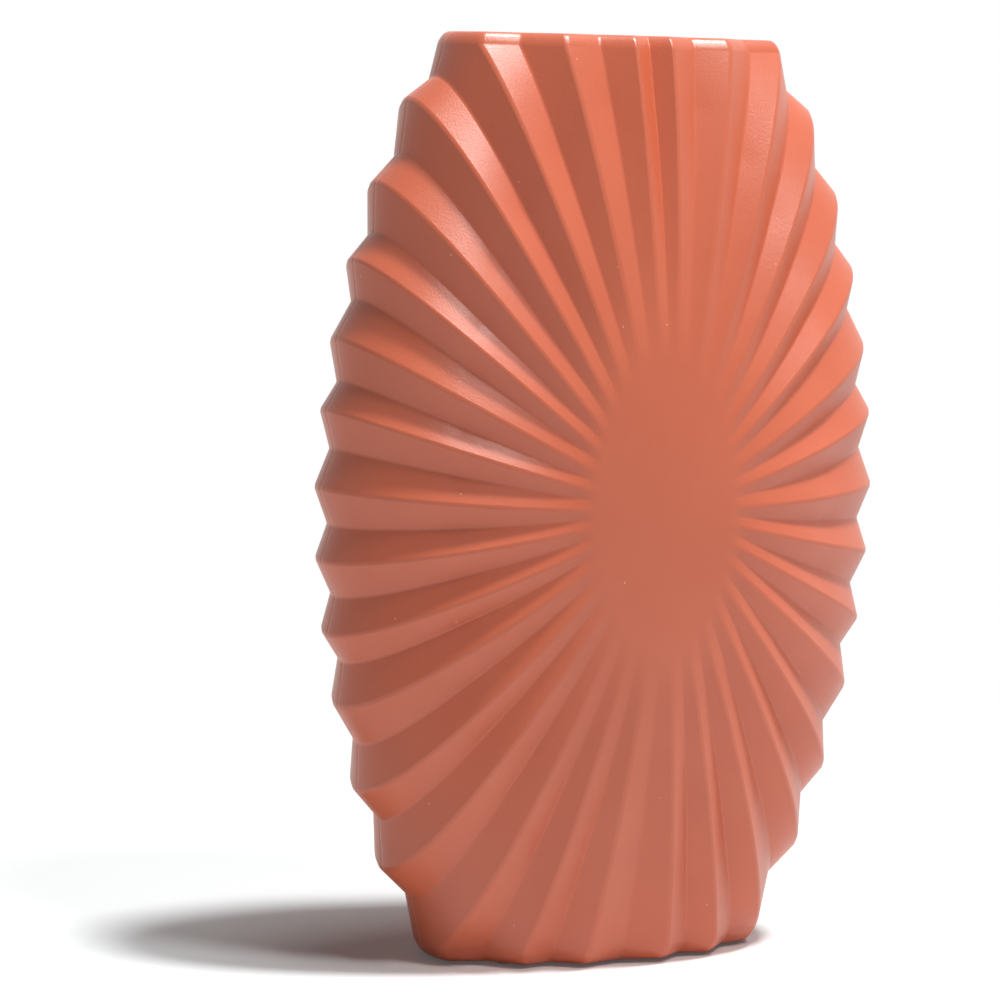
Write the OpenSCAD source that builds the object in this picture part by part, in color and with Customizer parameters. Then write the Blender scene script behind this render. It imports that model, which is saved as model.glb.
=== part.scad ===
// Flattened oval flower vase with 34 pleats running out from a smooth oval in the middle of each face.
// Two half mouldings meet on the middle plane, a plate closes the foot and four pads carry it.
// The front faces -Y, +Z is up, and the origin is on the table under the middle of the foot.

/* [Overall size] */
// Height from the table to the lip
vase_h = 330; // [315:1:345]
// Width of the oval across the ridge tips
oval_w = 217; // [200:1:235]
// Height of the whole oval, before its top and foot are cut flat
oval_h = 430; // [420:1:460]
// Depth from front to rear
oval_d = 109; // [95:1:125]
// Height of the middle of the oval above the table
oval_mid_h = 166.5; // [160:0.5:172]

/* [Pleats] */
// How far the valleys lie inside the rim, as a share of the oval
pleat_rim_share = 0.043; // [0.02:0.001:0.06]
// How far the valleys lie behind the face, as a share of the depth
pleat_face_share = 0.082; // [0.03:0.001:0.1]
// Where a pleat starts to rise, as a share of the way to the rim
pleat_start_share = 0.25; // [0.1:0.01:0.4]
// Where a pleat reaches its full height
pleat_full_share = 0.7; // [0.6:0.01:0.9]
// Half width of the rounding on a ridge, as a share of one pleat
crest_share = 0.06; // [0.03:0.005:0.1]

/* [Shell] */
// Wall thickness, measured level
wall = 4; // [3:0.25:5]
// Height of the rounding outside the lip
lip_round_h = 4.5; // [3:0.25:6]
// Width of the rounding outside the lip, as a share of the wall
lip_round_share = 0.7; // [0.5:0.05:0.75]
// Edge break inside the lip
lip_break = 0.6; // [0.3:0.1:0.8]
// Height of the rounding outside the foot
foot_round_h = 6; // [5:0.25:8]
// Width of the rounding outside the foot
foot_round_w = 4; // [3:0.25:4.5]

/* [Base plate] */
// Thickness of the plate that closes the foot
plate_t = 3; // [2:0.25:4]
// From the outside of the foot to the recess for the plate
plate_inset = 5.5; // [5:0.25:7]
// Width of the ledge that the plate is pushed up against
ledge_w = 2; // [1.5:0.25:3]
// Clearance round the plate
plate_gap = 0.15; // [0.1:0.05:0.3]

/* [Seam seal] */
// From the rim to the groove for the seal
seal_inset = 1.2; // [1:0.1:1.4]
// Width of the groove
seal_w = 1.4; // [1:0.1:1.6]
// Depth of the groove in each half
seal_groove_d = 0.8; // [0.6:0.1:1.2]
// Clearance round the seal
seal_gap = 0.1; // [0.05:0.05:0.15]

/* [Pads] */
// Diameter of a pad
pad_d = 10; // [8:0.5:12]
// Gap that the pads leave between the foot and the table
pad_stand = 1; // [0.8:0.1:2]
// How deep a pad is let into the plate
pad_seat = 0.8; // [0.5:0.1:1.5]
// Clearance round a pad
pad_gap = 0.1; // [0.05:0.05:0.2]
// Least distance from a pad to the edge of the plate
pad_margin = 1; // [0.5:0.25:3]
// How far the pads stand from the middle, as a share of the half width that this leaves
pad_out_share = 0.7; // [0.6:0.01:0.75]
// How far the pads stand from the middle, as a share of the half depth that this leaves
pad_deep_share = 0.66; // [0.5:0.01:0.7]

/* [Hidden] */

// Where the ridges and valleys meet the rim, as shares of a quarter turn from level.
// The left side mirrors these.
ridge_up_shares = [0.02, 0.18, 0.315, 0.45, 0.565, 0.675, 0.775, 0.875, 0.975];
ridge_down_shares = [0.13, 0.275, 0.405, 0.54, 0.65, 0.76, 0.85, 0.935];
valley_up_shares = [0.105, 0.245, 0.4, 0.51, 0.625, 0.725, 0.825, 0.93];
valley_down_shares = [0.06, 0.21, 0.34, 0.485, 0.6, 0.71, 0.81, 0.895];

quarter = 90;
half_turn = 2 * quarter;
full_turn = 4 * quarter;
ups = len(ridge_up_shares);
downs = len(ridge_down_shares);
pleats = 2 * (ups + downs);

// Round the rim from the right, counter-clockwise seen from the front
ridge_rim = concat([for (s = ridge_up_shares) s * quarter],
                   [for (i = [ups - 1:-1:0]) half_turn - ridge_up_shares[i] * quarter],
                   [for (s = ridge_down_shares) half_turn + s * quarter],
                   [for (i = [downs - 1:-1:0]) full_turn - ridge_down_shares[i] * quarter]);
valley_rim = concat([for (s = valley_up_shares) s * quarter], [quarter],
                    [for (i = [ups - 2:-1:0]) half_turn - valley_up_shares[i] * quarter],
                    [for (s = valley_down_shares) half_turn + s * quarter], [3 * quarter],
                    [for (i = [downs - 1:-1:0]) full_turn - valley_down_shares[i] * quarter]);

// Near the middle the pleats leave at even steps, stretched upright and dropped a little at the sides
stretch_up_share = 1.27;
stretch_down_share = 1.14;
side_drop = 4.4;
// How soon a pleat turns from its bearing in the middle to its bearing at the rim
turn_share = 0.46;
function stretched(a) = atan2((sin(a) > 0 ? stretch_up_share : stretch_down_share) * sin(a), cos(a));
function positive(a) = a < -1 ? a + full_turn : a;
function start_bearing(a) = let (t = positive(stretched(a))) t - side_drop * cos(t);
function ridge_start(k) = start_bearing(k * full_turn / pleats);
function valley_start(k) = start_bearing((k + 0.5) * full_turn / pleats);

// The oval is a little slimmer than an ellipse in front view and close to one in section
outline_power = 1.85;
face_power = 1.9;
half_w = oval_w / 2;
half_h = oval_h / 2;
half_d = oval_d / 2;
function reach(t) = pow(pow(abs(cos(t)) / half_w, outline_power)
                        + pow(abs(sin(t)) / half_h, outline_power), -1 / outline_power);
function belly(s) = half_d * sqrt(max(0, 1 - pow(s, face_power)));
function blend(a, b, m) = a + (b - a) * m;
function bearing(from, to, s) = blend(from, to, pow(s, turn_share));
function rise(s) = min(1, max(0, (s - pleat_start_share) / (pleat_full_share - pleat_start_share)));

// One point of the front skin: s runs from 0 in the middle of the face to 1 at the rim
function on_ray(t, s, in_share, back_share) =
    let (r = reach(t) * s * (1 - in_share * rise(s)))
    [r * cos(t), -belly(s) * (1 - back_share * rise(s)), r * sin(t) + oval_mid_h];
function on_ridge(k, s) = on_ray(bearing(ridge_start(k), ridge_rim[k], s), s, 0, 0);
function on_valley(k, s) =
    on_ray(bearing(valley_start(k), valley_rim[k], s), s, pleat_rim_share, pleat_face_share);

// A place u counts pleats round the rim: whole numbers are ridges and halves are valleys
function across(x) = x < crest_share ? (x * x + crest_share * crest_share) / crest_share : 2 * x;
function skin(u, s) =
    let (k = floor(u) % pleats, f = u - floor(u), near = f < 0.5 ? k : (k + 1) % pleats)
    blend(on_ridge(near, s), on_valley(k, s), across(min(f, 1 - f)));

// Level direction into the vase at a point of the skin
function level_w(z) = half_w * pow(1 - pow(abs(z - oval_mid_h) / half_h, outline_power), 1 / outline_power);
function level_d(z) = belly(abs(z - oval_mid_h) / half_h);
function inward(p) =
    let (w = level_w(p.z), d = level_d(p.z), v = [p.x / w / w, p.y / d / d, 0])
    -v / norm(v);
function moved(p, in_by, up_by = 0) = p + inward(p) * in_by + [0, 0, up_by];

// The skin stops where the rounding of the lip or of the foot starts
lip_z = vase_h - lip_round_h;
foot_z = pad_stand + foot_round_h;

// Over the height of its rounding, the lip and the foot also lean in with the face
lip_lean = level_d(lip_z) - level_d(vase_h);
foot_lean = level_d(foot_z) - level_d(pad_stand);
halvings = 24;
function end_share(u, z, lo = 0.5, hi = 1, n = halvings) =
    n == 0 ? (lo + hi) / 2
    : let (mid = (lo + hi) / 2, out = abs(skin(u, mid).z - oval_mid_h) > abs(z - oval_mid_h))
      end_share(u, z, out ? lo : mid, out ? mid : hi, n - 1);
function corner_place(z, lo, hi, n = halvings) =
    n == 0 ? (lo + hi) / 2
    : let (mid = (lo + hi) / 2, out = abs(skin(mid, 1).z - oval_mid_h) > abs(z - oval_mid_h))
      corner_place(z, out ? lo : mid, out ? mid : hi, n - 1);

// Places where the rim meets the lip and the foot
right_mid = 0;
left_mid = pleats / 2;
top_mid = ups - 0.5;
foot_mid = pleats / 2 + downs + 0.5;
lip_right = corner_place(lip_z, right_mid, top_mid);
lip_left = corner_place(lip_z, left_mid, top_mid);
foot_left = corner_place(foot_z, left_mid, foot_mid);
foot_right = corner_place(foot_z, pleats, foot_mid);

// Columns of points: two on each ridge, one in each valley and one at each corner
plain_places = [for (k = [0:pleats - 1]) each [k + crest_share, k + 0.5, k + 1 - crest_share]];
least_step = 0.02;
function between(lo, hi) = [for (u = plain_places) if (u > lo + least_step && u < hi - least_step) u];
// The lip and the foot turn fastest near their corners, so more columns stand there
corner_steps = 4;
function eased(from, to) = [for (i = [1:corner_steps - 1]) blend(from, to, pow(i / corner_steps, 2))];
function reversed(v) = [for (i = [len(v) - 1:-1:0]) v[i]];
function with_corners(lo, hi) =
    let (v = between(lo, hi)) concat(eased(lo, v[0]), v, reversed(eased(hi, v[len(v) - 1])));
lip_places = with_corners(lip_right, lip_left);
foot_places = with_corners(foot_left, foot_right);
left_places = between(lip_left, foot_left);
right_places = concat(between(foot_right, pleats + 1), between(-1, lip_right));
places = concat(lip_places, [lip_left], left_places, [foot_left],
                foot_places, [foot_right], right_places, [lip_right]);
function is_corner(u) = len([for (c = [lip_right, lip_left, foot_left, foot_right]) if (u == c) c]) > 0;
function is_lip(u) = u >= lip_right && u <= lip_left;
function is_foot(u) = u >= foot_left && u <= foot_right;

// Rings of points from the middle of the face outward, closer together near the rim
outer_rings = 12;
inner_rings = 5;
function ring(u, i, n) =
    let (last = is_corner(u) ? 1 : is_lip(u) ? end_share(u, lip_z) : is_foot(u) ? end_share(u, foot_z) : 1)
    skin(u, last * sin(quarter * i / n));

// Edge of the shell from the outer skin to the inner one: [level, upright, front to rear]
round_steps = 4;
bend = quarter / round_steps;
inner_lean_share = 0.8;
lip_round_w = wall * lip_round_share;
function rounded(i, w, h, lean) = [w * (1 - cos(i * bend)) + lean * sin(i * bend), h * sin(i * bend), 0];
function lip_in(in_by, up_by) = [in_by + lip_lean * inner_lean_share * up_by / lip_round_h, up_by, 0];
lip_edge = concat([for (i = [1:round_steps]) rounded(i, lip_round_w, lip_round_h, lip_lean)],
                  [lip_in(wall - lip_break, lip_round_h), lip_in(wall, lip_round_h - lip_break),
                   lip_in(wall, lip_round_h / 2), lip_in(wall, lip_round_h / 4)]);
plate_in = plate_inset + foot_lean;
ledge_in = plate_in + ledge_w;
ledge_up = plate_t - foot_round_h;
foot_edge = concat([for (i = [1:round_steps]) rounded(i, foot_round_w, -foot_round_h, foot_lean)],
                   [[plate_in, -foot_round_h, 0], [plate_in, ledge_up, 0],
                    [ledge_in, ledge_up, 0], [ledge_in, ledge_up / 2, 0]]);
seal_out = seal_inset + seal_w;
side_edge = concat([[seal_inset, 0, 0], [seal_inset, 0, -seal_groove_d],
                    [seal_out, 0, -seal_groove_d], [seal_out, 0, 0]],
                   [for (i = [1:round_steps]) [blend(seal_out, wall, i / (round_steps + 1)), 0, 0]]);
function edge(u) = is_lip(u) ? lip_edge : is_foot(u) ? foot_edge : side_edge;
function column(u) =
    let (rim = ring(u, outer_rings, outer_rings))
    concat([for (i = [1:outer_rings]) ring(u, i, outer_rings)],
           [for (e = edge(u)) moved(rim, e.x, e.y) + [0, e.z, 0]],
           [moved(rim, is_foot(u) ? ledge_in : wall)],
           [for (i = [inner_rings - 1:-1:1]) moved(ring(u, i, inner_rings), wall)]);

module half_shell() {
    columns = [for (u = places) column(u)];
    n = len(columns);
    m = len(columns[0]);
    middle = [0, -half_d, oval_mid_h];
    points = concat([for (c = columns) each c], [middle, moved(middle, wall)]);
    faces = concat(
        [for (j = [0:n - 1]) [n * m, (j + 1) % n * m, j * m]],
        [for (j = [0:n - 1], i = [0:m - 2])
            let (a = j * m + i, b = (j + 1) % n * m + i)
            each [[a, b + 1, a + 1], [a, b, b + 1]]],
        [for (j = [0:n - 1]) [n * m + 1, j * m + m - 1, (j + 1) % n * m + m - 1]]);
    polyhedron(points, faces);
}

// A bead that follows the rim between its end columns
module bead(along) {
    lo = seal_inset + seal_gap;
    hi = seal_out - seal_gap;
    d = seal_groove_d - seal_gap;
    n = len(along);
    points = [for (u = along) let (rim = skin(u, 1))
              each [moved(rim, lo) - [0, d, 0], moved(rim, hi) - [0, d, 0],
                    moved(rim, hi) + [0, d, 0], moved(rim, lo) + [0, d, 0]]];
    last = 4 * (n - 1);
    polyhedron(points, concat(
        [[0, 2, 1], [0, 3, 2], [last, last + 1, last + 2], [last, last + 2, last + 3]],
        [for (j = [0:n - 2], i = [0:3])
            let (a = 4 * j + i, b = 4 * j + (i + 1) % 4)
            each [[a, b + 4, a + 4], [a, b, b + 4]]]));
}
function trimmed(v) = [for (i = [1:len(v) - 2]) v[i]];

function plate_edge(u) = moved(ring(u, outer_rings, outer_rings), plate_in + plate_gap);
foot_outline = [for (u = concat([foot_left], foot_places, [foot_right])) plate_edge(u)];
pad_x = (abs(plate_edge(foot_left).x) - pad_d / 2 - pad_margin) * pad_out_share;
pad_y = (abs(plate_edge(foot_mid).y) - pad_d / 2 - pad_margin) * pad_deep_share;
module plate_outline() {
    n = len(foot_outline);
    polygon(concat([for (p = foot_outline) [p.x, p.y]],
                   [for (i = [n - 2:-1:1]) [foot_outline[i].x, -foot_outline[i].y]]));
}

vase_colour = [0.8, 0.38, 0.3];
seal_colour = [0.85, 0.6, 0.52];
plate_colour = [0.7, 0.33, 0.26];
pad_colour = [0.16, 0.15, 0.15];
smooth = 48;

module front_shell() { color(vase_colour) half_shell(); }
module rear_shell() { color(vase_colour) mirror([0, 1, 0]) half_shell(); }
module seam_seal_left() { color(seal_colour) bead(trimmed(left_places)); }
module seam_seal_right() { color(seal_colour) bead(trimmed(right_places)); }

module at_pad(x, y) { translate([x * pad_x, y * pad_y, 0]) children(); }
module base_plate() {
    color(plate_colour) difference() {
        translate([0, 0, pad_stand]) linear_extrude(plate_t) plate_outline();
        for (x = [-1, 1], y = [-1, 1])
            at_pad(x, y) cylinder(h = pad_stand + pad_seat, d = pad_d + 2 * pad_gap, $fn = smooth);
    }
}
module pad(x, y) { color(pad_colour) at_pad(x, y) cylinder(h = pad_stand + pad_seat, d = pad_d, $fn = smooth); }
module pad_front_left() { pad(-1, -1); }
module pad_front_right() { pad(1, -1); }
module pad_rear_left() { pad(-1, 1); }
module pad_rear_right() { pad(1, 1); }

front_shell();
rear_shell();
seam_seal_left();
seam_seal_right();
base_plate();
pad_front_left();
pad_front_right();
pad_rear_left();
pad_rear_right();
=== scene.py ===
import math
import bmesh
import bpy
import numpy as np
from mathutils import Matrix, Vector

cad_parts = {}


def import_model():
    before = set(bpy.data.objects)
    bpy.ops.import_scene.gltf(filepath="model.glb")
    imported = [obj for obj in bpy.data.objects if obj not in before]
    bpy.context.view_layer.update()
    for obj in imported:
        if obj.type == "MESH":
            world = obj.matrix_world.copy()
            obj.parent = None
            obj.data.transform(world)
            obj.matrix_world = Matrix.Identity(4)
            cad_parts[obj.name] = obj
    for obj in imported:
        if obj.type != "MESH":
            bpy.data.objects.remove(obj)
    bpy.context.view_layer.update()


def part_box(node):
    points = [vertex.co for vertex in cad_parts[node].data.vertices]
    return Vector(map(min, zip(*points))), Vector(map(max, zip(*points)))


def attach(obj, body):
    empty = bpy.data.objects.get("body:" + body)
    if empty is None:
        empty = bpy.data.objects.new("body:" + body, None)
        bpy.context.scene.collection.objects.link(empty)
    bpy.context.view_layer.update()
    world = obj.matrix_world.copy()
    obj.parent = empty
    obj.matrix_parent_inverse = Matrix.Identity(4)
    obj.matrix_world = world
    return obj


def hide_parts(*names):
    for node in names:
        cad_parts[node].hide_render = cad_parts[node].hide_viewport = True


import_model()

# ---------------------------------------------------------------- sizes of the vase, metres
MM = 0.001
VASE_H = 330 * MM
HALF_W = 217 * MM / 2
HALF_H = 430 * MM / 2
HALF_D = 109 * MM / 2
OVAL_MID_H = 166.5 * MM
WALL = 4 * MM
PAD_STAND = 1 * MM
LIP_ROUND_H = 4.5 * MM
LIP_ROUND_W = 0.7 * WALL
LIP_BREAK = 0.6 * MM
FOOT_ROUND_H = 6 * MM
FOOT_ROUND_W = 4 * MM
PLATE_T = 3 * MM
PLATE_INSET = 5.5 * MM
LEDGE_W = 2 * MM
RECESS_BREAK, LEDGE_BREAK = 0.3 * MM, 0.2 * MM
SEAL_INSET, SEAL_W, SEAL_GROOVE_D = 1.2 * MM, 1.4 * MM, 0.8 * MM
# A fine line on the outside where the two halves meet
SEAM_D, SEAM_W = 0.18 * MM, 0.3 * MM

# Pleats: shares of a quarter turn where ridges and valleys meet the rim
RIDGE_UP = [0.02, 0.18, 0.315, 0.45, 0.565, 0.675, 0.775, 0.875, 0.975]
RIDGE_DOWN = [0.13, 0.275, 0.405, 0.54, 0.65, 0.76, 0.85, 0.935]
VALLEY_UP = [0.105, 0.245, 0.4, 0.51, 0.625, 0.725, 0.825, 0.93]
VALLEY_DOWN = [0.06, 0.21, 0.34, 0.485, 0.6, 0.71, 0.81, 0.895]
PLEATS = 34
# How far a valley lies inside the oval, at the rim and in the face
RIM_DEPTH = 0.043
FACE_DEPTH = 0.082
# The scene's valleys are a little deeper than the solids' above the foot
FACE_DEEPER = 0.018
DEEPER_FROM, DEEPER_TO = 8 * MM, 70 * MM
# Shares of the way out where the pleats start and where they are full
PLEAT_START, PLEAT_FULL = 0.25, 0.7
# Bearings in the middle of the face, and how soon they turn to those at the rim
STRETCH_UP, STRETCH_DOWN = 1.27, 1.14
SIDE_DROP = 4.4
TURN = 0.46
OUTLINE_POWER, FACE_POWER = 1.85, 1.9
# Rounding of ridges and valleys
PLEAT_WIDTH = 27 * MM
RIDGE_SOFT = 1.5 * MM
VALLEY_SOFT = 0.6 * MM
RIDGE_SOFT_MOST, VALLEY_SOFT_MOST, LEAST_SHARE = 0.2, 0.15, 0.05

# Columns of the solids: the plate and the seals follow straight lines between them
CAD_CREST, CAD_CORNER_STEPS, CAD_LEAST_STEP = 0.06, 4, 0.02


def mirrored(up, down, middle):
    """Bearings all the way round, in degrees, from shares of a quarter turn."""
    right_up = [90 * s for s in up] + ([90] if middle else [])
    left_up = [180 - 90 * s for s in reversed(up)]
    left_down = [180 + 90 * s for s in down]
    right_down = [360 - 90 * s for s in reversed(down)]
    return np.array(right_up + left_up + left_down + ([270] if middle else []) + right_down)


def start_bearings(offset):
    """Bearings of the pleats in the middle: even steps, stretched upright, dropped at the sides."""
    a = np.radians((np.arange(PLEATS) + offset) * 360 / PLEATS)
    stretch = np.where(np.sin(a) > 1e-9, STRETCH_UP, STRETCH_DOWN)
    t = np.degrees(np.arctan2(stretch * np.sin(a), np.cos(a)))
    t = np.where(t < -1, t + 360, t)
    return t - SIDE_DROP * np.cos(np.radians(t))


RIDGE_RIM = mirrored(RIDGE_UP, RIDGE_DOWN, False)
VALLEY_RIM = mirrored(VALLEY_UP, VALLEY_DOWN, True)
RIDGE_START = start_bearings(0.0)
VALLEY_START = start_bearings(0.5)


def belly(s):
    return HALF_D * np.sqrt(np.maximum(0, 1 - s ** FACE_POWER))


def on_ray(start, rim, s, in_share, back_share):
    """Points on a ridge or in a valley; s runs from 0 in the middle to 1 at the rim."""
    t = np.radians(start + (rim - start) * s ** TURN)
    reach = ((np.abs(np.cos(t)) / HALF_W) ** OUTLINE_POWER
             + (np.abs(np.sin(t)) / HALF_H) ** OUTLINE_POWER) ** (-1 / OUTLINE_POWER)
    rise = np.clip((s - PLEAT_START) / (PLEAT_FULL - PLEAT_START), 0, 1)
    r = reach * s * (1 - in_share * rise)
    z = r * np.sin(t) + OVAL_MID_H
    if back_share:
        above = np.clip((z - DEEPER_FROM) / (DEEPER_TO - DEEPER_FROM), 0, 1)
        back_share = back_share + FACE_DEEPER * above * above * (3 - 2 * above)
    return np.stack([r * np.cos(t), -belly(s) * (1 - back_share * rise), z], -1)


def across(x, s):
    """0 on a ridge, 1 in a valley, both rounded; x is the distance from the ridge in pleats."""
    width = PLEAT_WIDTH * np.maximum(s, LEAST_SHARE)
    c = np.minimum(RIDGE_SOFT_MOST, RIDGE_SOFT / width)
    v = np.minimum(VALLEY_SOFT_MOST, VALLEY_SOFT / width)
    y = 0.5 - x
    m = np.where(x < c, (x * x + c * c) / c, 2 * x)
    return np.where(y < v, 1 - (y * y + v * v) / v, m)


def across_cad(x, s):
    """The same for the solids, which are cut square between their two columns on a ridge."""
    return np.where(x < CAD_CREST, (x * x + CAD_CREST ** 2) / CAD_CREST, 2 * x)


def skin(u, s, shape=across):
    """Points of the front skin; place u counts pleats, ridges at whole numbers, valleys halfway."""
    u, s = np.broadcast_arrays(np.asarray(u, float), np.asarray(s, float))
    k = np.floor(u).astype(int)
    f = u - k
    near = np.where(f < 0.5, k, k + 1) % PLEATS
    k = k % PLEATS
    ridge = on_ray(RIDGE_START[near], RIDGE_RIM[near], s, 0, 0)
    valley = on_ray(VALLEY_START[k], VALLEY_RIM[k], s, RIM_DEPTH, FACE_DEPTH)
    m = shape(np.minimum(f, 1 - f), s)[..., None]
    return ridge + (valley - ridge) * m


def inward(p):
    """Level direction into the vase at points of the skin."""
    h = np.abs(p[..., 2] - OVAL_MID_H) / HALF_H
    w = HALF_W * (1 - h ** OUTLINE_POWER) ** (1 / OUTLINE_POWER)
    v = np.stack([p[..., 0] / w ** 2, p[..., 1] / belly(h) ** 2, 0 * h], -1)
    return -v / np.linalg.norm(v, axis=-1, keepdims=True)


def depth_at(z):
    return belly(abs(z - OVAL_MID_H) / HALF_H)


# The skin stops where the rounding of the lip or of the foot starts; both lean in with the face
LIP_Z = VASE_H - LIP_ROUND_H
FOOT_Z = PAD_STAND + FOOT_ROUND_H
LIP_LEAN = depth_at(LIP_Z) - depth_at(VASE_H)
FOOT_LEAN = depth_at(FOOT_Z) - depth_at(PAD_STAND)
INNER_LEAN_SHARE = 0.8
PLATE_IN = PLATE_INSET + FOOT_LEAN

# Places in the middle of each side, in pleats
RIGHT_MID, TOP_MID, LEFT_MID, FOOT_MID = 0, 8.5, 17, 25.5
HALVINGS = 40


def corner_place(z, lo, hi, shape):
    """Place where the rim crosses height z."""
    for _ in range(HALVINGS):
        mid = (lo + hi) / 2
        out = abs(skin(mid, 1.0, shape)[2] - OVAL_MID_H) > abs(z - OVAL_MID_H)
        lo, hi = (lo, mid) if out else (mid, hi)
    return (lo + hi) / 2


def corner_places(shape):
    """Where the rim meets the lip, right and left, and the foot, left and right."""
    return [corner_place(LIP_Z, RIGHT_MID, TOP_MID, shape),
            corner_place(LIP_Z, LEFT_MID, TOP_MID, shape),
            corner_place(FOOT_Z, LEFT_MID, FOOT_MID, shape),
            corner_place(FOOT_Z, PLEATS, FOOT_MID, shape)]


def end_share(u, z, shape=across):
    """Share of the way out at which the skin reaches height z."""
    lo, hi = np.full(len(u), 0.5), np.ones(len(u))
    for _ in range(HALVINGS):
        mid = (lo + hi) / 2
        out = np.abs(skin(u, mid, shape)[:, 2] - OVAL_MID_H) > abs(z - OVAL_MID_H)
        lo, hi = np.where(out, lo, mid), np.where(out, mid, hi)
    return (lo + hi) / 2


# ---------------------------------------------------------------- lines of the solids
CAD_CORNERS = corner_places(across_cad)
# The two sides, left and right, from corner to corner
SIDE_SPANS = [(CAD_CORNERS[1], CAD_CORNERS[2]), (CAD_CORNERS[3] - PLEATS, CAD_CORNERS[0])]
GROOVE_ROWS = 4


def cad_places(lo, hi, eased):
    """Places of the solids' columns from lo to hi; eased adds the closer ones at both corners."""
    fractions = (CAD_CREST, 0.5, 1 - CAD_CREST)
    plain = [k + f for k in range(-PLEATS, 2 * PLEATS) for f in fractions]
    v = [u for u in plain if lo + CAD_LEAST_STEP < u < hi - CAD_LEAST_STEP]
    steps = [(i / CAD_CORNER_STEPS) ** 2 for i in range(1, CAD_CORNER_STEPS)] if eased else []
    head = [lo + (v[0] - lo) * e for e in steps]
    tail = [hi - (hi - v[-1]) * e for e in reversed(steps)]
    return np.array([lo] + head + v + tail + [hi])


def cad_line(places, last, u, in_by):
    """Points at places u on the solids' line of straight pieces, in_by inside their rim."""
    rim = skin(places, last, across_cad)
    line = rim + inward(rim) * in_by
    return np.stack([np.interp(u, places, line[:, i]) for i in range(3)], -1)


def recess_points(u, rows_in):
    """Level places of the recess that holds the plate, row by row, and of its ledge."""
    lo, hi = CAD_CORNERS[2:]
    places = cad_places(lo, hi, True)
    last = end_share(places, FOOT_Z, across_cad)
    last[[0, -1]] = 1
    around = np.where(u < 0, u + PLEATS, u)
    wall = cad_line(places, last, around, PLATE_IN)[:, :2]
    ledge = cad_line(places, last, around, PLATE_IN + LEDGE_W)[:, :2]
    along = (rows_in - PLATE_IN) / LEDGE_W
    return wall[:, None] + (ledge - wall)[:, None] * along[None, :, None], ledge


def parting_points(u, lo, hi, first_in, rows):
    """Rows of the parting face: the groove that holds the seal, then on to the inner skin."""
    places = cad_places(lo, hi, False)
    ends = np.ones(len(places))
    near = cad_line(places, ends, u, SEAL_INSET)
    far = cad_line(places, ends, u, SEAL_INSET + SEAL_W)
    deep = np.array([0, -SEAL_GROOVE_D, 0])
    groove = np.stack([near, near + deep, far + deep, far], 1)
    rest = rows - GROOVE_ROWS
    share = (np.arange(rest) + 1) / (rest + 1)
    face = far[:, None] + (first_in - far)[:, None] * share[None, :, None]
    return np.concatenate([groove, face], 1)


# ---------------------------------------------------------------- half shells
FRACTIONS = [0, 0.015, 0.03, 0.045, 0.06, 0.09, 0.14, 0.2, 0.27, 0.34, 0.4, 0.44, 0.465, 0.485, 0.5]
FRACTIONS = FRACTIONS + [1 - f for f in reversed(FRACTIONS[1:-1])]
OUTER_ROWS, INNER_ROWS, ROUND_ROWS, BREAK_ROWS = 110, 40, 12, 5
CORNER_COLUMNS = 14
# Least distance of a plain column from a corner, in pleats
CURVED_GAP, SIDE_GAP = 0.12, 0.012
# Whole pleats before place 0, enough to reach the foot's right corner
PLEATS_BEFORE = 12
SHELL_SHARP, PAD_SHARP = 50, 40
WELD = 1e-7


def column_places():
    """Columns round the rim as (place, kind, is a corner); kind is lip, side or foot."""
    c = corner_places(across)
    plain = np.array([k + f for k in range(-PLEATS_BEFORE, PLEATS + 1) for f in FRACTIONS])
    spans = [(c[0], c[1], "lip", "lip"), (c[1], c[2], "side", "lip"),
             (c[2], c[3], "foot", "foot"), (c[3] - PLEATS, c[0], "side", "foot")]
    out = []
    for lo, hi, kind, corner_kind in spans:
        gap = SIDE_GAP if kind == "side" else CURVED_GAP
        v = plain[(plain > lo + gap) & (plain < hi - gap)]
        if kind != "side":
            e = (np.arange(1, CORNER_COLUMNS) / CORNER_COLUMNS) ** 2
            v = np.concatenate([lo + (v[0] - lo) * e, v, (hi - (hi - v[-1]) * e)[::-1]])
        out.append((lo, corner_kind, True))
        out += [(u, kind, False) for u in v]
    return out


def quarter_round(w, h, lean):
    a = np.radians(np.linspace(0, 90, ROUND_ROWS + 1)[1:])
    return [(w * (1 - math.cos(i)) + lean * math.sin(i), h * math.sin(i)) for i in a]


def inner_round(w, h, r, lean):
    """Small rounding on the inside of the lip: from the flat to the inner wall."""
    a = np.radians(np.linspace(0, 90, BREAK_ROWS + 1))
    return [(w - r + r * math.sin(i) + lean, h - r + r * math.cos(i)) for i in a]


def edge_rows():
    """Rows from the outer skin to the inner one as (level, upright); the sides get theirs later."""
    lip = quarter_round(LIP_ROUND_W, LIP_ROUND_H, LIP_LEAN)
    lean = LIP_LEAN * INNER_LEAN_SHARE
    lip += inner_round(WALL, LIP_ROUND_H, LIP_BREAK, lean)
    lip += [(WALL + lean * part, LIP_ROUND_H * part) for part in (1 / 2, 1 / 4)]
    foot = quarter_round(FOOT_ROUND_W, -FOOT_ROUND_H, FOOT_LEAN)
    ledge_in = PLATE_IN + LEDGE_W
    up = PLATE_T - FOOT_ROUND_H
    foot += [(PLATE_IN - RECESS_BREAK, -FOOT_ROUND_H), (PLATE_IN, -FOOT_ROUND_H + RECESS_BREAK),
             (PLATE_IN, up), (PLATE_IN + LEDGE_W / 2, up), (ledge_in - LEDGE_BREAK, up),
             (ledge_in, up + LEDGE_BREAK), (ledge_in, up / 2), (ledge_in, up / 4)]
    return {"lip": np.array(lip), "foot": np.array(foot), "side": np.zeros((len(lip), 2))}


def row_shares(n):
    """Shares of the way out, closer together near the rim."""
    return np.sin(np.radians(np.linspace(0, 90, n + 1)[1:]))


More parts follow.
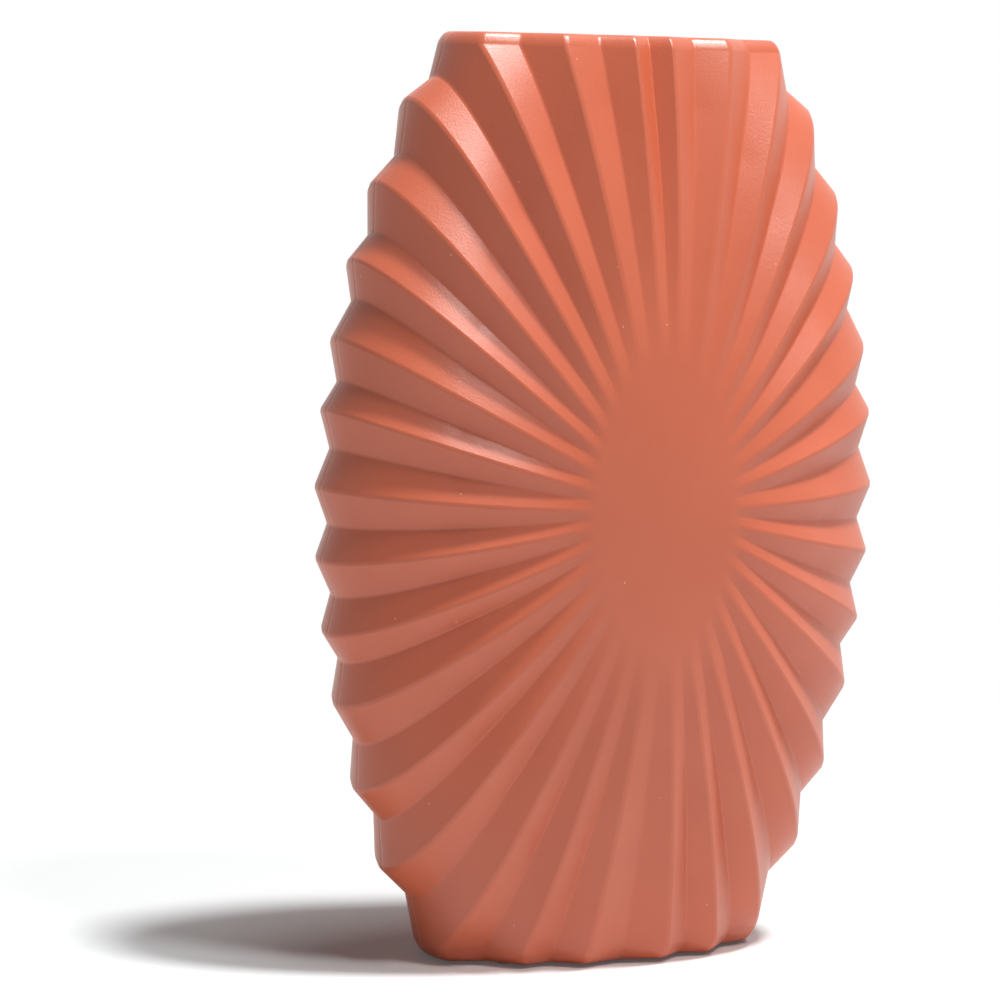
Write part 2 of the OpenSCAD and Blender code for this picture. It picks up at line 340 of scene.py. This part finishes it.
def shell_faces(n, m, side):
    """Faces over n columns of m points and two middle points; side tells which way they face."""
    j = np.arange(n)[:, None]
    i = np.arange(m - 1)[None, :]
    a, b = j * m + i, (j + 1) % n * m + i
    quads = np.stack([a, a + 1, b + 1, b], -1).reshape(-1, 4)
    j = np.arange(n)
    nxt = (j + 1) % n
    fan_out = np.stack([np.full(n, n * m), j * m, nxt * m], -1)
    fan_in = np.stack([np.full(n, n * m + 1), nxt * m + m - 1, j * m + m - 1], -1)
    turn = -1 if side > 0 else 1
    return [f for part in (quads, fan_out, fan_in) for f in part[:, ::turn].tolist()]


def mesh_object(name, points, faces):
    mesh = bpy.data.meshes.new(name)
    mesh.from_pydata(points, [], faces)
    mesh.update()
    ob = bpy.data.objects.new(name, mesh)
    bpy.context.collection.objects.link(ob)
    return ob


def tidy_mesh(ob, sharp):
    bm = bmesh.new()
    bm.from_mesh(ob.data)
    bmesh.ops.remove_doubles(bm, verts=bm.verts, dist=WELD)
    bmesh.ops.recalc_face_normals(bm, faces=bm.faces)
    bm.to_mesh(ob.data)
    bm.free()
    for p in ob.data.polygons:
        p.use_smooth = True
    ob.data.set_sharp_from_angle(angle=math.radians(sharp))


def half_shell(name, side):
    """One half of the vase: side 1 is the front, -1 the rear."""
    u, kind, corner = (np.array(v) for v in zip(*column_places()))
    last = np.ones(len(u))
    for curved, z in (("lip", LIP_Z), ("foot", FOOT_Z)):
        pick = (kind == curved) & ~corner
        last[pick] = end_share(u[pick], z)
    outer = skin(u[:, None], last[:, None] * row_shares(OUTER_ROWS)[None, :])
    rim = outer[:, -1]
    n_in = inward(rim)

    edge = edge_rows()
    e = np.stack([edge[k] for k in kind])
    edges = rim[:, None] + n_in[:, None] * e[:, :, :1] + np.array([0, 0, 1.0]) * e[:, :, 1:]
    first_in = rim + n_in * np.where(kind == "foot", PLATE_IN + LEDGE_W, WALL)[:, None]
    pick = kind == "foot"
    level, ledge = recess_points(u[pick], edge["foot"][ROUND_ROWS:, 0])
    edges[pick, ROUND_ROWS:, :2] = level
    first_in[pick, :2] = ledge
    for lo, hi in SIDE_SPANS:
        pick = (kind == "side") & (u > lo - 1) & (u < hi + 1)
        edges[pick] = parting_points(u[pick], lo, hi, first_in[pick], edges.shape[1])

    inner = skin(u[:, None], last[:, None] * row_shares(INNER_ROWS)[:-1][::-1][None, :])
    inner = inner + inward(inner) * WALL
    from_seam = np.abs(outer[:, :, 1])
    on_seam = (kind == "side")[:, None] & (from_seam < SEAM_W)
    drop = np.where(on_seam, SEAM_D * (1 - from_seam / SEAM_W), 0)
    outer = outer + inward(outer) * drop[:, :, None]

    columns = np.concatenate([outer, edges, first_in[:, None], inner], 1)
    middle = np.array([[0, -HALF_D, OVAL_MID_H], [0, -HALF_D + WALL, OVAL_MID_H]])
    points = np.concatenate([columns.reshape(-1, 3), middle])
    points[:, 1] *= side
    ob = mesh_object(name, points.tolist(), shell_faces(*columns.shape[:2], side))
    tidy_mesh(ob, SHELL_SHARP)
    return ob


# ---------------------------------------------------------------- materials
class Nodes:
    """Short helper around one material's node tree."""

    def __init__(self, name):
        self.mat = bpy.data.materials.new(name)
        self.mat.use_nodes = True
        self.tree = self.mat.node_tree
        self.bsdf = self.tree.nodes["Principled BSDF"]
        coords = self.tree.nodes.new("ShaderNodeTexCoord")
        self.place = coords.outputs["Object"]

    def put(self, socket, value):
        if isinstance(value, bpy.types.NodeSocket):
            self.tree.links.new(value, socket)
        else:
            socket.default_value = value

    def add(self, kind, inputs=None, **props):
        node = self.tree.nodes.new(kind)
        for key, value in props.items():
            setattr(node, key, value)
        for key, value in (inputs or {}).items():
            self.put(node.inputs[key], value)
        return node

    def maths(self, operation, *values):
        inputs = dict(enumerate(values))
        return self.add("ShaderNodeMath", inputs, operation=operation).outputs[0]

    def noise(self, scale, detail=2.0, rough=0.5):
        inputs = {"Vector": self.place, "Scale": scale, "Detail": detail, "Roughness": rough}
        return self.add("ShaderNodeTexNoise", inputs).outputs["Fac"]

    def span(self, value, low, high, out_low, out_high):
        inputs = {"Value": value, "From Min": low, "From Max": high,
                  "To Min": out_low, "To Max": out_high}
        return self.add("ShaderNodeMapRange", inputs).outputs["Result"]

    def mix(self, fac, a, b):
        # inputs 0, 6 and 7 and output 2 are the ones for colours
        return self.add("ShaderNodeMix", {0: fac, 6: a, 7: b}, data_type="RGBA").outputs[2]

    def bump(self, height, strength, distance, after=None):
        inputs = {"Height": height, "Strength": strength, "Distance": distance}
        if after is not None:
            inputs["Normal"] = after
        return self.add("ShaderNodeBump", inputs).outputs["Normal"]

    def link(self, output, socket):
        self.tree.links.new(output, self.bsdf.inputs[socket])

    def gloss(self, ior):
        self.bsdf.inputs["IOR"].default_value = ior


CLAY = (0.61, 0.132, 0.061, 1)
CLAY_DEEP = (0.58, 0.120, 0.053, 1)
CLAY_PALE = (0.85, 0.48, 0.36, 1)
# Painted highlight: a paler colour along the parting line stands in for the light that the seam's
# edges catch
SEAM_HIGHLIGHT_COLOUR = (0.76, 0.32, 0.22, 1)
SPECK_SCALE, SPECK_FULL, SPECK_END, SPECK_MIX = 85.0, 0.016, 0.036, 0.6
# Width and strength of the painted seam highlight, by distance from the parting plane
SEAM_HIGHLIGHT_FULL, SEAM_HIGHLIGHT_END, SEAM_HIGHLIGHT_MIX = 0.12 * MM, 0.45 * MM, 0.7
GRAIN_SCALE, GRAIN_STRENGTH, GRAIN_H = 1100, 0.6, 0.12 * MM
WAVE_SCALE, WAVE_STRENGTH, WAVE_H = 90, 0.2, 0.2 * MM


def shell_plastic():
    """Satin plastic with a fine eggshell grain, faint flow clouds, a few pale specks and a painted
    highlight along the seam.
    """
    n = Nodes("satin_terracotta_plastic")
    colour = n.mix(n.span(n.noise(22, 3), 0.35, 0.65, 0, 1), CLAY, CLAY_DEEP)
    cells = n.add("ShaderNodeTexVoronoi", {"Vector": n.place, "Scale": SPECK_SCALE}, feature="F1")
    speck = n.span(cells.outputs["Distance"], SPECK_FULL, SPECK_END, 1, 0)
    colour = n.mix(n.maths("MULTIPLY", speck, SPECK_MIX), colour, CLAY_PALE)
    # Painted highlight along the seam: paler where the depth from the parting plane is under half a
    # millimetre
    depth = n.add("ShaderNodeSeparateXYZ", {"Vector": n.place}).outputs["Y"]
    seam_highlight = n.span(n.maths("ABSOLUTE", depth), SEAM_HIGHLIGHT_FULL, SEAM_HIGHLIGHT_END, SEAM_HIGHLIGHT_MIX, 0)
    n.link(n.mix(seam_highlight, colour, SEAM_HIGHLIGHT_COLOUR), "Base Color")
    n.link(n.span(n.noise(60, 4), 0.3, 0.7, 0.32, 0.39), "Roughness")
    wave = n.bump(n.noise(WAVE_SCALE, 2), WAVE_STRENGTH, WAVE_H)
    n.link(n.bump(n.noise(GRAIN_SCALE, 2, 0.6), GRAIN_STRENGTH, GRAIN_H, wave), "Normal")
    n.gloss(1.56)
    return n.mat


def plate_plastic():
    n = Nodes("matt_terracotta_plastic")
    n.link(n.mix(n.span(n.noise(30, 3), 0.35, 0.65, 0, 1), CLAY, CLAY_DEEP), "Base Color")
    n.link(n.span(n.noise(120, 4), 0.3, 0.7, 0.5, 0.62), "Roughness")
    n.link(n.bump(n.noise(2200, 3, 0.6), 0.4, 0.08 * MM), "Normal")
    n.gloss(1.47)
    return n.mat


def rubber(name, dark, light):
    n = Nodes(name)
    n.link(n.mix(n.span(n.noise(400, 4), 0.35, 0.65, 0, 1), dark, light), "Base Color")
    n.link(n.span(n.noise(900, 2), 0.3, 0.7, 0.62, 0.8), "Roughness")
    n.link(n.bump(n.noise(3000, 3, 0.7), 0.4, 0.1 * MM), "Normal")
    n.gloss(1.5)
    return n.mat


# ---------------------------------------------------------------- pads
PAD_ROUND, PAD_BREAK, PAD_STEPS, PAD_ROUND_STEPS = 0.6 * MM, 0.3 * MM, 48, 6
# Dimple underneath: shares of the radius and heights
PAD_DIMPLE = [(0, 0.3 * MM), (0.35, 0.28 * MM), (0.55, 0.1 * MM), (0.65, 0.0)]


def pad(node):
    """Turned rubber pad with a rounded rim and a shallow dimple underneath."""
    low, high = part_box(node)
    x, y = (low[0] + high[0]) / 2, (low[1] + high[1]) / 2
    r, top = (high[0] - low[0]) / 2, high[2]
    profile = [(r * share, up) for share, up in PAD_DIMPLE]
    profile += [(r - PAD_ROUND + PAD_ROUND * math.sin(a), PAD_ROUND - PAD_ROUND * math.cos(a))
                for a in np.radians(np.linspace(0, 90, PAD_ROUND_STEPS + 1))]
    profile += [(r, top - PAD_BREAK), (r - PAD_BREAK, top), (0, top)]
    turns = [2 * math.pi * k / PAD_STEPS for k in range(PAD_STEPS)]
    points = [(x + pr * math.cos(t), y + pr * math.sin(t), pz) for pr, pz in profile for t in turns]
    faces = []
    for i in range(len(profile) - 1):
        for k in range(PAD_STEPS):
            a, b = i * PAD_STEPS + k, i * PAD_STEPS + (k + 1) % PAD_STEPS
            faces.append((a, b, b + PAD_STEPS, a + PAD_STEPS))
    ob = mesh_object(node + "_turned", points, faces)
    tidy_mesh(ob, PAD_SHARP)
    return ob


# ---------------------------------------------------------------- pieces
def dress(ob, node, material):
    ob.data.materials.clear()
    ob.data.materials.append(material)
    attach(ob, "root")
    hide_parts(node)


SHELL = shell_plastic()
for name, side in (("front_shell", 1), ("rear_shell", -1)):
    dress(half_shell(name + "_pleated", side), name, SHELL)
PAD = rubber("soft_grey_rubber", (0.05, 0.05, 0.05, 1), (0.08, 0.08, 0.08, 1))
for name in ("pad_front_left", "pad_front_right", "pad_rear_left", "pad_rear_right"):
    dress(pad(name), name, PAD)
# The plate and the seals stay the solids' own, with better materials
PLATE = plate_plastic()
SEAL = rubber("pale_seal_rubber", (0.55, 0.5, 0.46, 1), (0.62, 0.57, 0.52, 1))
PLAIN = {"base_plate": PLATE, "seam_seal_left": SEAL, "seam_seal_right": SEAL}
for name, material in PLAIN.items():
    for slot in bpy.data.objects[name].material_slots:
        slot.material = material


# ---------------------------------------------------------------- camera
YAW, PITCH, ROLL = math.radians(25.0), math.radians(5.645), math.radians(1.431)
CAMERA_AWAY, CAMERA_SIDE, CAMERA_H = 1.4713, -0.03531, 0.30845
SENSOR_W, LENS = 36, 147.76


def camera():
    ahead = Vector((math.sin(YAW), math.cos(YAW), 0))
    right = Vector((math.cos(YAW), -math.sin(YAW), 0))
    up = Vector((0, 0, 1))
    look = ahead * math.cos(PITCH) - up * math.sin(PITCH)
    tall = up * math.cos(PITCH) + ahead * math.sin(PITCH)
    r3 = right * math.cos(ROLL) + tall * math.sin(ROLL)
    u3 = tall * math.cos(ROLL) - right * math.sin(ROLL)
    place = right * CAMERA_SIDE - ahead * CAMERA_AWAY + up * CAMERA_H
    cam = bpy.data.objects.new("camera", bpy.data.cameras.new("camera"))
    cam.data.sensor_width = SENSOR_W
    cam.data.lens = LENS
    rows = [(r3[i], u3[i], -look[i], place[i]) for i in range(3)]
    cam.matrix_world = Matrix(rows + [(0, 0, 0, 1)])
    bpy.context.collection.objects.link(cam)
    bpy.context.scene.camera = cam


# ---------------------------------------------------------------- light and floor
# Disc lamps: name, direction, level, distance and size
LAMPS = [("key", (0.237, -0.200, 0.951), 0.90, 4.0, 0.5),
         ("overhead", (0.1, -0.1, 1), 0.28, 2.4, 1.0),
         ("front", (0.24, -0.52, 0.82), 0.31, 2.2, 0.5)]
LAMP_AIM = Vector((0, 0, 0.16))
AMBIENT = 0.01
FLOOR_HALF = 6.0
FLOOR_GLOW = 0.07
FLOOR_COLOUR = (0.88, 0.91, 0.915, 1)
FLOOR_FADE = (0.25, 0.75)


def seen_rays(nodes, links):
    """1 for camera, glossy and transmission rays, 0 for the rest."""
    path = nodes.new("ShaderNodeLightPath")
    total = path.outputs["Is Camera Ray"]
    for name in ("Is Glossy Ray", "Is Transmission Ray"):
        both = nodes.new("ShaderNodeMath")
        both.operation = "MAXIMUM"
        links.new(total, both.inputs[0])
        links.new(path.outputs[name], both.inputs[1])
        total = both.outputs[0]
    return total


def lamp(name, toward, level, away, size):
    """A disc lamp; level 1 lights a facing white surface to 1."""
    d = Vector(toward).normalized()
    data = bpy.data.lights.new(name, "AREA")
    data.shape = "DISK"
    data.size = size
    data.energy = (math.pi * away) ** 2 * level
    ob = bpy.data.objects.new(name, data)
    ob.location = LAMP_AIM + d * away
    ob.rotation_euler = d.to_track_quat("Z", "Y").to_euler()
    bpy.context.collection.objects.link(ob)


def floor():
    """Pale floor that keeps the shadow near the vase and turns plain white to seen rays far out."""
    r = FLOOR_HALF
    ob = mesh_object("floor", [(-r, -r, 0), (r, -r, 0), (r, r, 0), (-r, r, 0)], [(0, 1, 2, 3)])
    n = Nodes("pale_floor")
    n.tree.nodes.remove(n.bsdf)
    seen = seen_rays(n.tree.nodes, n.tree.links)
    away = n.add("ShaderNodeVectorMath", {0: n.place}, operation="LENGTH").outputs["Value"]
    far = n.span(away, *FLOOR_FADE, 0, 1)
    diffuse = n.add("ShaderNodeBsdfDiffuse", {"Color": FLOOR_COLOUR})
    glow = n.add("ShaderNodeEmission", {"Strength": n.maths("MULTIPLY", seen, FLOOR_GLOW)})
    near = n.add("ShaderNodeAddShader", {0: diffuse.outputs[0], 1: glow.outputs[0]})
    white = n.add("ShaderNodeEmission", {"Strength": 1.0})
    fade = n.maths("MULTIPLY", seen, far)
    both = n.add("ShaderNodeMixShader", {0: fade, 1: near.outputs[0], 2: white.outputs[0]})
    n.tree.links.new(both.outputs[0], n.tree.nodes["Material Output"].inputs["Surface"])
    ob.data.materials.append(n.mat)


def world():
    """White to seen rays and nearly dark to the rest."""
    w = bpy.data.worlds.new("studio")
    bpy.context.scene.world = w
    w.use_nodes = True
    nodes, links = w.node_tree.nodes, w.node_tree.links
    back = nodes["Background"]
    back.inputs["Color"].default_value = (1, 1, 1, 1)
    amount = nodes.new("ShaderNodeMapRange")
    amount.inputs["To Min"].default_value = AMBIENT
    amount.inputs["To Max"].default_value = 1.0
    links.new(seen_rays(nodes, links), amount.inputs["Value"])
    links.new(amount.outputs["Result"], back.inputs["Strength"])


camera()
for values in LAMPS:
    lamp(*values)
floor()
world()
bpy.context.scene.view_settings.view_transform = "Standard"
